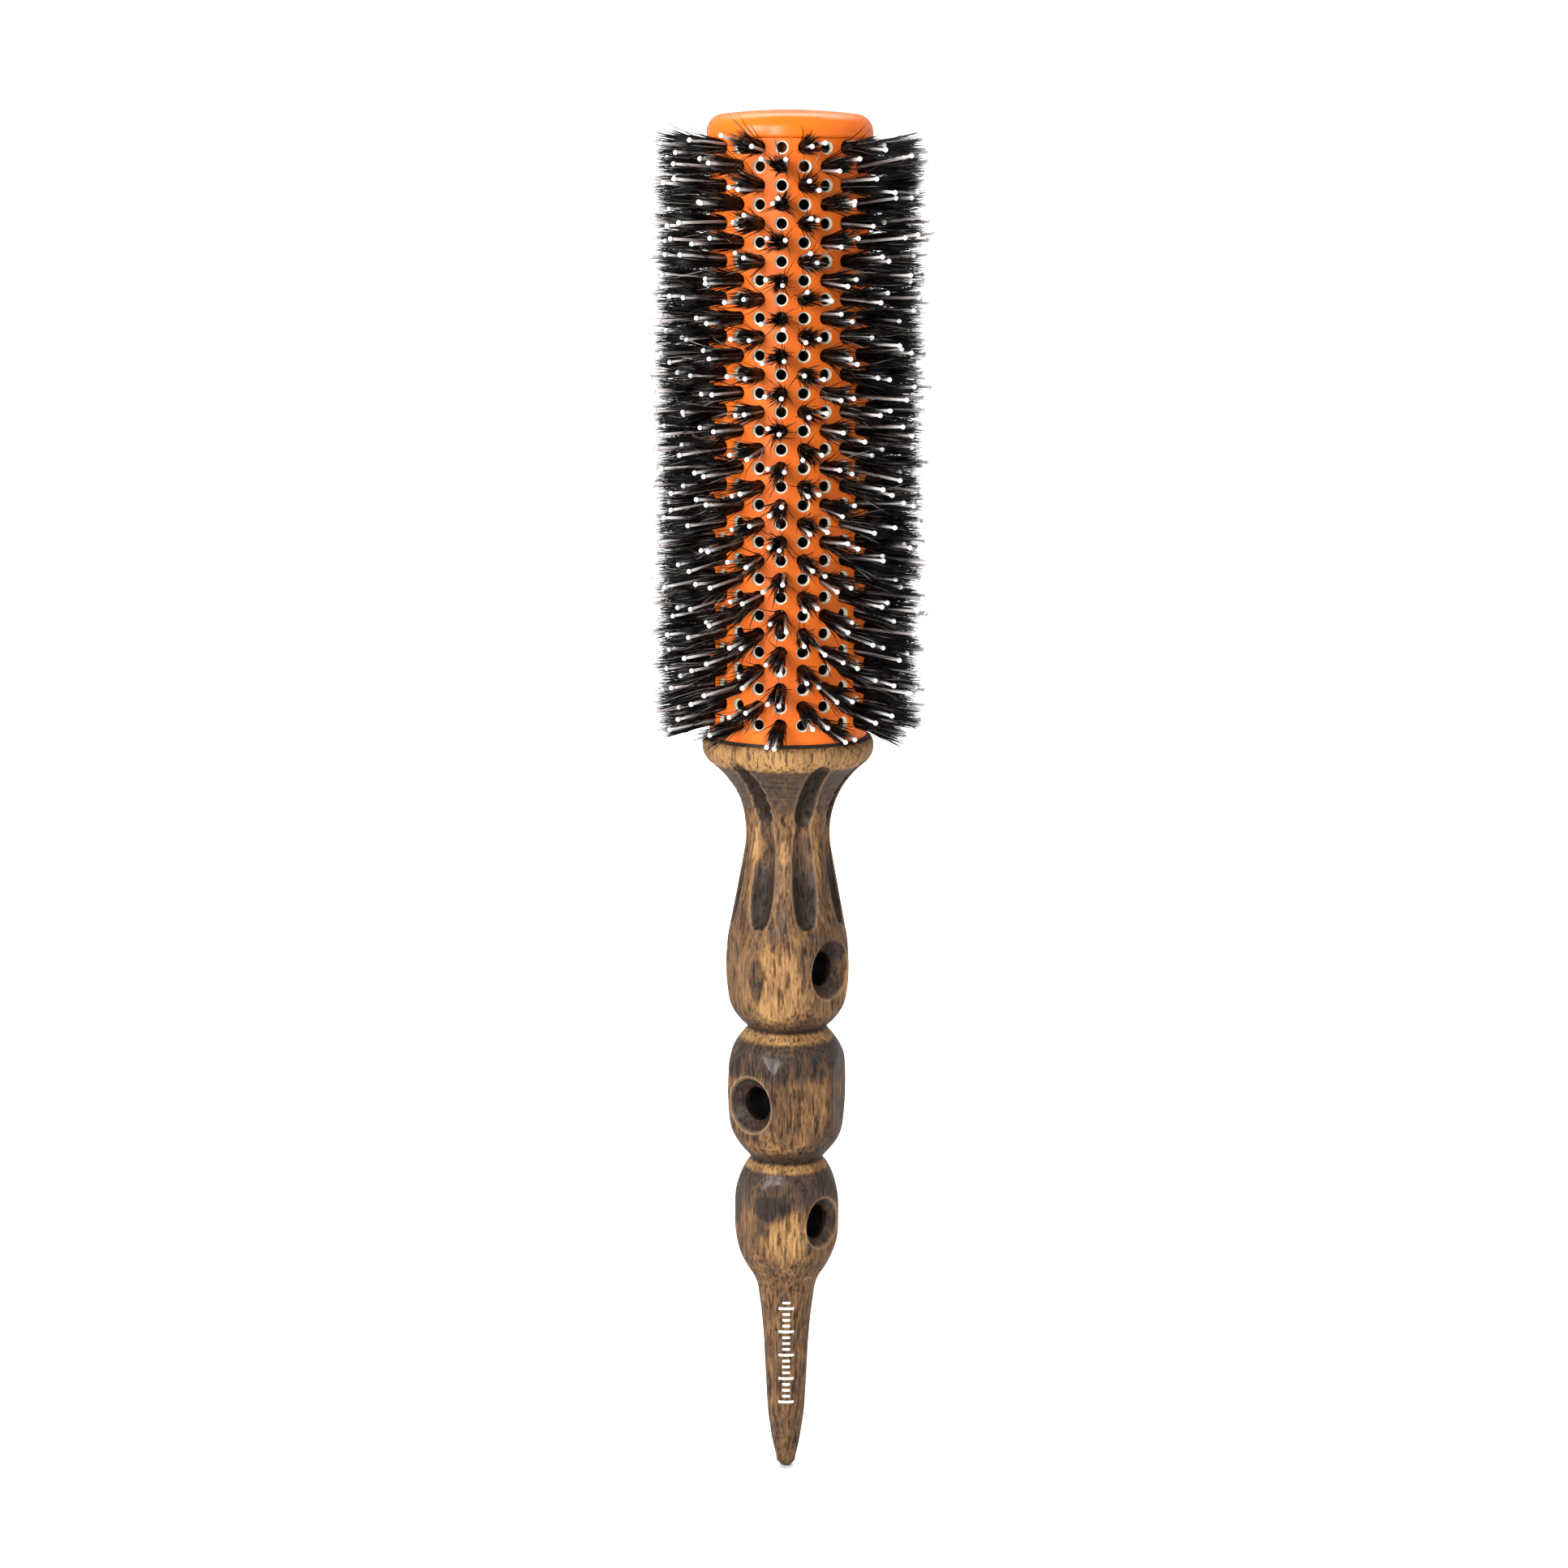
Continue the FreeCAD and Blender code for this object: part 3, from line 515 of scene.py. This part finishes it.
class Wiring:
    """Shorthand for building a node tree, whether of a group or of a material."""

    def __init__(self, tree):
        self.nodes, self.links = tree.nodes, tree.links
        self.where = self.add("ShaderNodeTexCoord").outputs["Object"]

    def add(self, kind, **values):
        """A node with its plain properties set."""
        node = self.nodes.new(kind)
        for name, value in values.items():
            setattr(node, name, value)
        return node

    def feed(self, socket, value):
        """Link a socket to another, or give it a number, a grey or a colour."""
        if isinstance(value, bpy.types.NodeSocket):
            self.links.new(value, socket)
        elif isinstance(value, tuple) and len(socket.default_value) == 4:
            socket.default_value = (*value, 1.0)
        else:
            socket.default_value = value

    def stretched(self, vector, scale, rotation=(0.0, 0.0, 0.0)):
        """A vector turned, then scaled along each axis."""
        mapping = self.add("ShaderNodeMapping")
        self.feed(mapping.inputs["Vector"], vector)
        self.feed(mapping.inputs["Rotation"], rotation)
        self.feed(mapping.inputs["Scale"], scale)
        return mapping.outputs["Vector"]

    def noise(self, vector, scale, detail=4.0, rough=0.55):
        """Fractal noise, 0 to 1, at a vector."""
        node = self.add("ShaderNodeTexNoise")
        for name, value in (("Vector", vector), ("Scale", scale), ("Detail", detail), ("Roughness", rough)):
            self.feed(node.inputs[name], value)
        return node.outputs["Fac"]

    def ramp(self, fac, *stops):
        """Colours or greys by position, each stop (position, value)."""
        node = self.add("ShaderNodeValToRGB")
        elements = node.color_ramp.elements
        while len(elements) < len(stops):
            elements.new(0.5)
        for element, (position, value) in zip(elements, stops):
            element.position = position
            element.color = (*value, 1.0) if isinstance(value, tuple) else (value, value, value, 1.0)
        self.feed(node.inputs["Fac"], fac)
        return node.outputs["Color"]

    def math(self, operation, *values, clamp=False):
        """One arithmetic step on numbers or sockets."""
        node = self.add("ShaderNodeMath", operation=operation, use_clamp=clamp)
        for socket, value in zip(node.inputs, values):
            self.feed(socket, value)
        return node.outputs["Value"]

    def lean_on(self, base, source, weight):
        """Base plus weight times the source's distance from its middle, 0.5."""
        centred = self.math("SUBTRACT", source, 0.5)
        return self.math("MULTIPLY_ADD", centred, weight, base)

    def mix(self, fac, low, high, blend="MIX"):
        """Blend of two colours."""
        node = self.add("ShaderNodeMix", data_type="RGBA", blend_type=blend)
        for socket, value in ((node.inputs[0], fac), (node.inputs[6], low), (node.inputs[7], high)):
            self.feed(socket, value)
        return node.outputs[2]

    def attribute(self, name):
        """A number that the mesh carries at each point."""
        return self.add("ShaderNodeAttribute", attribute_name=name).outputs["Fac"]

    def bump(self, height, strength, distance):
        """Normal of a height over the surface."""
        node = self.add("ShaderNodeBump")
        for name, value in (("Height", height), ("Strength", strength), ("Distance", distance)):
            self.feed(node.inputs[name], value)
        return node.outputs["Normal"]


class Finish(Wiring):
    """A material built around one Principled shader."""

    def __init__(self, name):
        self.material = bpy.data.materials.new(name)
        self.material.use_nodes = True
        super().__init__(self.material.node_tree)
        self.shader = self.nodes["Principled BSDF"]

    def put(self, **values):
        """Numbers, colours or sockets into the shader's own inputs."""
        for name, value in values.items():
            self.feed(self.shader.inputs[name.replace("_", " ")], value)

    def grained(self, scale, dark, light, smooth, rough, relief, stretch=1.0):
        """Colour, roughness and normal of the shared surface grain; gives the colour back."""
        node = self.add("ShaderNodeGroup", node_tree=SURFACE_GRAIN)
        values = {"Scale": scale, "Stretch": stretch, "Dark": dark, "Light": light, "Smooth": smooth,
                  "Rough": rough, "Relief": relief}
        for name, value in values.items():
            self.feed(node.inputs[name], value)
        self.put(Base_Color=node.outputs["Colour"], Roughness=node.outputs["Roughness"],
                 Normal=node.outputs["Normal"])
        return node.outputs["Colour"]

    def by_depth(self, radius, below, above):
        """Colour that changes at a radius from the barrel's axis, in millimetres."""
        node = self.add("ShaderNodeGroup", node_tree=DEPTH_BLEND)
        for name, value in (("Radius", radius), ("Below", below), ("Above", above)):
            self.feed(node.inputs[name], value)
        return node.outputs["Colour"]


def node_group(name, inputs, outputs):
    """Empty group with the given sockets; gives it, its wiring, its inputs and its outputs."""
    group = bpy.data.node_groups.new(name, "ShaderNodeTree")
    for direction, sockets in (("INPUT", inputs), ("OUTPUT", outputs)):
        for label, kind in sockets:
            group.interface.new_socket(label, in_out=direction, socket_type="NodeSocket" + kind)
    wires = Wiring(group)
    return group, wires, wires.add("NodeGroupInput").outputs, wires.add("NodeGroupOutput").inputs


def depth_blend_group():
    """One colour below a given radius and another above it, the radius in millimetres from the axis of
    the barrel, with a short blend between."""
    group, wires, given, result = node_group(
        "depth_blend", [("Radius", "Float"), ("Below", "Color"), ("Above", "Color")], [("Colour", "Color")])
    flat = wires.add("ShaderNodeVectorMath", operation="MULTIPLY")
    wires.feed(flat.inputs[0], wires.where)
    wires.feed(flat.inputs[1], (1000.0, 1000.0, 0.0))
    length = wires.add("ShaderNodeVectorMath", operation="LENGTH")
    wires.feed(length.inputs[0], flat.outputs[0])
    over = wires.math("SUBTRACT", length.outputs["Value"], given["Radius"])
    share = wires.math("MULTIPLY_ADD", over, 8.0, 0.5, clamp=True)
    wires.feed(result["Colour"], wires.mix(share, given["Below"], given["Above"]))
    return group


def surface_grain_group():
    """Fine grain that several finishes share: one fractal noise, stretched along the brush, runs the
    colour from dark to light and the roughness from smooth to rough, and stands as a low relief."""
    group, wires, given, result = node_group(
        "surface_grain",
        [("Scale", "Float"), ("Stretch", "Float"), ("Dark", "Color"), ("Light", "Color"),
         ("Smooth", "Float"), ("Rough", "Float"), ("Relief", "Float")],
        [("Colour", "Color"), ("Roughness", "Float"), ("Normal", "Vector")])
    scale = wires.add("ShaderNodeCombineXYZ")
    wires.feed(scale.inputs["X"], 1.0)
    wires.feed(scale.inputs["Y"], 1.0)
    wires.feed(scale.inputs["Z"], given["Stretch"])
    grain = wires.noise(wires.stretched(wires.where, scale.outputs[0]), given["Scale"], 3.0)
    share = wires.ramp(grain, (0.32, 0.0), (0.68, 1.0))
    wires.feed(result["Colour"], wires.mix(share, given["Dark"], given["Light"]))
    span = wires.math("SUBTRACT", given["Rough"], given["Smooth"])
    wires.feed(result["Roughness"], wires.math("MULTIPLY_ADD", share, span, given["Smooth"]))
    wires.feed(result["Normal"], wires.bump(grain, given["Relief"], 0.00005))
    return group


SURFACE_GRAIN = surface_grain_group()
DEPTH_BLEND = depth_blend_group()


def bristle_black():
    """Black boar bristle: each hair its own tone, a few greyish, with a dull shine."""
    finish = Finish("bristle_black")
    tone = finish.attribute("tone")
    tint = finish.ramp(tone, (0.0, (0.002, 0.002, 0.002)), (0.80, (0.003, 0.003, 0.003)),
                       (0.93, (0.03, 0.026, 0.024)), (1.0, (0.40, 0.37, 0.33)))
    finish.put(Base_Color=tint, Roughness=finish.ramp(tone, (0.0, 0.26), (1.0, 0.42)))
    finish.put(Specular_IOR_Level=0.14)
    return finish.material


def pin_nylon():
    """Nylon pin: translucent grey stem, white ball."""
    finish = Finish("pin_nylon")
    along = finish.attribute("along")
    tint = finish.ramp(along, (0.0, (0.14, 0.12, 0.11)), (0.45, (0.36, 0.32, 0.31)),
                       (0.84, (0.62, 0.58, 0.56)), (0.93, (0.95, 0.95, 0.94)))
    finish.put(Base_Color=tint, Roughness=finish.ramp(along, (0.0, 0.24), (1.0, 0.34)))
    finish.put(Subsurface_Weight=0.12, Subsurface_Scale=0.0006)
    return finish.material


def barrel_orange():
    """Satin heat-resistant coating over drawn aluminium: a fine spray grain, faintly drawn out. The
    walls of the holes are bare drilled aluminium, painted pale cream as their bright reflection."""
    finish = Finish("barrel_orange")
    tint = finish.grained(3600, (0.90, 0.160, 0.011), (0.96, 0.186, 0.015), 0.40, 0.48, 0.10, stretch=0.4)
    # painted reflection: inside a radius of 15.9 mm the walls of the holes are pale cream, for bright bare
    # aluminium
    finish.put(Base_Color=finish.by_depth(15.9, (0.96, 0.90, 0.76), tint), Specular_IOR_Level=0.22)
    return finish.material


def cap_orange():
    """Semi-gloss orange moulding with fine scuffs."""
    finish = Finish("cap_orange")
    finish.grained(260, (0.88, 0.158, 0.004), (0.92, 0.178, 0.006), 0.26, 0.32, 0.02)
    finish.put(Specular_IOR_Level=0.36, Subsurface_Weight=0.06, Subsurface_Scale=0.002)
    return finish.material


def core_cream():
    """Cream plastic of the core: warm and pale at the vents' mouths, painted shade further in that turns
    near black.
    """
    finish = Finish("core_cream")
    tint = finish.grained(1500, (0.88, 0.82, 0.66), (0.98, 0.94, 0.84), 0.42, 0.55, 0.12)
    # painted shade: inside a radius of 15.04 mm the core is near black, the shade deep in the vents
    finish.put(Base_Color=finish.by_depth(15.04, (0.012, 0.010, 0.008), tint))
    return finish.material


def ring_black():
    """Thin black rubber ring with a fine moulded tooth."""
    finish = Finish("ring_black")
    finish.grained(2500, (0.008, 0.007, 0.006), (0.025, 0.02, 0.018), 0.5, 0.7, 0.2)
    return finish.material


def steel_wire():
    """Drawn steel of the staples and the lock pin."""
    finish = Finish("steel_wire")
    finish.grained(900, (0.42, 0.42, 0.43), (0.62, 0.62, 0.62), 0.28, 0.42, 0.05, stretch=12.0)
    finish.put(Metallic=1.0)
    return finish.material


SCALE_FOOT, SCALE_MIDDLE, SCALE_HALF = 15.0 * MM, 26.2 * MM, 11.4 * MM
TICK_PITCH, TICK_SHARE, TICK_HALF = 1.3 * MM, 0.42, 0.8 * MM


def scale_ticks(finish):
    """Mask of a plain printed tick scale on the front of the tail: short bars across it at an even
    pitch, every fourth one twice as wide."""
    split = finish.add("ShaderNodeSeparateXYZ")
    finish.feed(split.inputs[0], finish.where)
    x, y, z = split.outputs
    step = finish.math("DIVIDE", finish.math("SUBTRACT", z, SCALE_FOOT), TICK_PITCH)
    bar = finish.math("LESS_THAN", finish.math("FRACT", step), TICK_SHARE)
    fourth = finish.math("LESS_THAN", finish.math("MODULO", finish.math("FLOOR", step), 4.0), 0.5)
    half = finish.math("MULTIPLY_ADD", fourth, TICK_HALF, TICK_HALF)
    across = finish.math("LESS_THAN", finish.math("ABSOLUTE", x), half)
    from_middle = finish.math("ABSOLUTE", finish.math("SUBTRACT", z, SCALE_MIDDLE))
    reach = finish.math("LESS_THAN", from_middle, SCALE_HALF)
    front = finish.math("LESS_THAN", y, 0.0)
    mask = bar
    for part in (across, reach, front):
        mask = finish.math("MULTIPLY", mask, part)
    return mask


def stained_beech():
    """Dark-stained beech rubbed through to golden wood. Fibres are noise stretched along the brush,
    pores are short dark dashes a little aslant, and the grooves are darkest. The gouges are darker,
    partly stain and partly painted shade, and inside the bores painted shade turns the wood near black."""
    finish = Finish("stained_beech")
    drift = finish.noise(finish.stretched(finish.where, (1, 1, 0.25)), 70, 2.0)
    sway = finish.add("ShaderNodeVectorMath", operation="MULTIPLY_ADD")
    for socket, value in zip(sway.inputs, (drift, (0.004, 0.004, 0.0), finish.where)):
        finish.feed(socket, value)
    wood = sway.outputs[0]
    aslant = finish.stretched(wood, (1.0, 1.0, 0.13), rotation=(0.0, 0.14, 0.0))
    coarse = finish.noise(finish.stretched(wood, (1, 1, 0.2)), 650, 5.0, 0.68)
    fine = finish.noise(finish.stretched(wood, (1, 1, 0.16)), 2100, 4.0, 0.7)
    pores = finish.noise(aslant, 1700, 3.0, 0.6)
    blotch = finish.noise(finish.stretched(wood, (1, 1, 0.6)), 260, 4.0, 0.65)
    cloud = finish.noise(finish.stretched(wood, (1, 1, 0.7)), 80, 3.0)
    lines = finish.noise(finish.stretched(finish.where, (0.03, 0.03, 1.0)), 2600, 3.0)
    gouged, hollow = finish.attribute("gouged"), finish.attribute("hollow")

    wear_and_shade = finish.attribute("rubbed")
    for source, weight in ((cloud, 0.45), (blotch, 0.6), (coarse, 0.95), (fine, 1.25)):
        wear_and_shade = finish.lean_on(wear_and_shade, source, weight)
    # the gouges are darker: partly stain, partly painted shade
    wear_and_shade = finish.math("SUBTRACT", wear_and_shade, finish.math("MULTIPLY", gouged, 0.62), clamp=True)
    tint = finish.ramp(wear_and_shade, (0.0, (0.030, 0.018, 0.012)), (0.22, (0.066, 0.037, 0.022)),
                       (0.48, (0.138, 0.070, 0.030)), (0.72, (0.250, 0.130, 0.048)),
                       (1.0, (0.41, 0.222, 0.082)))
    dashes = finish.ramp(pores, (0.39, 0.30), (0.47, 1.0))
    tint = finish.mix(1.0, tint, dashes, "MULTIPLY")
    turned = finish.math("MULTIPLY", finish.attribute("lathe"), 0.4)
    stripes = finish.ramp(lines, (0.40, (0.045, 0.030, 0.022)), (0.60, (0.12, 0.078, 0.052)))
    tint = finish.mix(turned, tint, stripes)
    tint = finish.mix(finish.math("MULTIPLY", finish.attribute("edge"), 0.5), tint, (0.40, 0.25, 0.14))
    # painted shade: near black deep inside each bore
    tint = finish.mix(hollow, tint, (0.004, 0.003, 0.002))
    finish.put(Base_Color=finish.mix(scale_ticks(finish), tint, (0.86, 0.84, 0.80)))
    gloss = finish.lean_on(0.46, coarse, -0.5)
    finish.put(Roughness=finish.math("MULTIPLY_ADD", gouged, 0.1, gloss), Specular_IOR_Level=0.2)
    unworn = finish.math("MULTIPLY_ADD", wear_and_shade, -2.4, 1.0, clamp=True)
    open_wood = finish.math("SUBTRACT", 1.0, finish.math("MAXIMUM", gouged, hollow), clamp=True)
    finish.put(Coat_Weight=finish.math("MULTIPLY", unworn, finish.math("MULTIPLY", open_wood, 0.42)),
               Coat_Roughness=0.2)
    relief = finish.math("MULTIPLY_ADD", fine, 0.6, finish.math("MULTIPLY", coarse, 0.8))
    relief = finish.math("MULTIPLY_ADD", dashes, 0.5, relief)
    finish.put(Normal=finish.bump(relief, 0.8, 0.00024))
    return finish.material


def floor_paper():
    """Plain white seamless paper."""
    finish = Finish("floor_paper")
    finish.grained(300, (0.93, 0.93, 0.93), (0.96, 0.96, 0.96), 0.85, 0.95, 0.05)
    return finish.material


# ---------------------------------------------------------------- pieces

def wear(piece, material):
    """Give a new piece its one material."""
    piece.data.materials.clear()
    piece.data.materials.append(material)


def paint_node(name, material):
    """Give a CAD node its finish on every material slot that it has."""
    slots = nodes[name].material_slots
    for slot in slots:
        slot.material = material
    if not slots:
        nodes[name].data.materials.append(material)


def enter(piece, material, replaced):
    """Finish a new piece, tie it to the brush and let it take the place of a CAD node."""
    wear(piece, material)
    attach(piece, "root")
    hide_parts(replaced)


bristle, nylon = bristle_black(), pin_nylon()
for number in range(COLUMNS):
    label = "_%02d" % (number + 1)
    enter(bristle_tufts(number), bristle, "tuft_column" + label)
    enter(ball_pins(number), nylon, "pin_column" + label)

enter(carved_handle(), stained_beech(), "handle")

cap_radius, cap_height = sample_turning(CAP_TURNING, 0.35)
cap = turned_piece("rounded_cap", cap_radius * MM, cap_height * MM, 160)
cap.data.set_sharp_from_angle(angle=math.radians(50))
enter(cap, cap_orange(), "end_cap")

paint_node("barrel_sleeve", barrel_orange())
paint_node("brush_core", core_cream())
paint_node("joint_ring", ring_black())
steel = steel_wire()
paint_node("tuft_anchors", steel)
paint_node("lock_pin", steel)


# ---------------------------------------------------------------- studio

def seamless_backdrop():
    """Paper that lies flat under the brush and curves up far behind it."""
    bend = np.linspace(0, math.pi / 2, 16)
    deep = np.concatenate([[-2.0, 0.0], 1.6 + 0.8 * np.sin(bend), [2.4]])
    tall = np.concatenate([[0.0, 0.0], 0.8 - 0.8 * np.cos(bend), [3.0]])
    rows = len(deep)
    wide = np.array([-3.0, 3.0])
    points = np.stack(np.broadcast_arrays(wide[None, :], deep[:, None], tall[:, None]), -1).reshape(-1, 3)
    first = np.arange(rows - 1) * 2
    quads = np.stack([first, first + 1, first + 3, first + 2], -1)
    return new_mesh("backdrop", points, [quads])


# The paper doesn't show in the gloss of the brush, whose edges stay their own colour.
paper = seamless_backdrop()
wear(paper, floor_paper())
paper.visible_glossy = False


def soft_light(name, place, target, width, height, power):
    """Rectangular area light that looks at a target; metres and watts."""
    lamp = bpy.data.lights.new(name, "AREA")
    lamp.shape, lamp.size, lamp.size_y, lamp.energy = "RECTANGLE", width, height, power
    holder = bpy.data.objects.new(name, lamp)
    aim = Vector(target) - Vector(place)
    holder.matrix_world = Matrix.Translation(place) @ aim.to_track_quat("-Z", "Y").to_matrix().to_4x4()
    bpy.context.scene.collection.objects.link(holder)


# Key from the left, a weak fill from the right, a tall glint for the gloss of the cap, and two lights
# that keep the paper white.
MIDDLE = (0.0, 0.0, 0.15)
soft_light("key", (-0.82, -0.76, 0.58), MIDDLE, 0.4, 0.5, 9.6)
soft_light("fill", (0.8, -0.5, 0.35), MIDDLE, 0.6, 0.9, 0.8)
soft_light("glint", (-0.36, -0.95, 0.46), MIDDLE, 0.22, 0.6, 7.0)
soft_light("wall", (0.0, 0.9, 2.2), (0.0, 2.2, 0.4), 2.4, 1.0, 60.0)
soft_light("floor", (0.0, 1.1, 1.6), (0.0, 1.1, 0.0), 2.4, 1.2, 20.0)

world = bpy.data.worlds.new("studio")
world.use_nodes = True
sky = world.node_tree.nodes["Background"]
sky.inputs["Color"].default_value = (1.0, 1.0, 1.0, 1.0)
sky.inputs["Strength"].default_value = 0.48
bpy.context.scene.world = world
bpy.context.scene.view_settings.view_transform = "Standard"

# Camera: nearly level with the cap, looking down a little at the middle of the brush.
AIM_HEIGHT, DISTANCE, TILT = 146.1 * MM, 725.0 * MM, math.radians(9.5)
SIDESTEP, ROLL = -0.8 * MM, math.radians(0.17)
lens = bpy.data.cameras.new("camera")
lens.sensor_width, lens.lens = 36.0, 81.25
lens.clip_start, lens.clip_end = 0.01, 20.0
camera = bpy.data.objects.new("camera", lens)
place = Vector((SIDESTEP, -DISTANCE * math.cos(TILT), AIM_HEIGHT + DISTANCE * math.sin(TILT)))
facing = Matrix.Rotation(math.pi / 2 - TILT, 4, "X") @ Matrix.Rotation(ROLL, 4, "Z")
camera.matrix_world = Matrix.Translation(place) @ facing
bpy.context.scene.collection.objects.link(camera)
bpy.context.scene.camera = camera
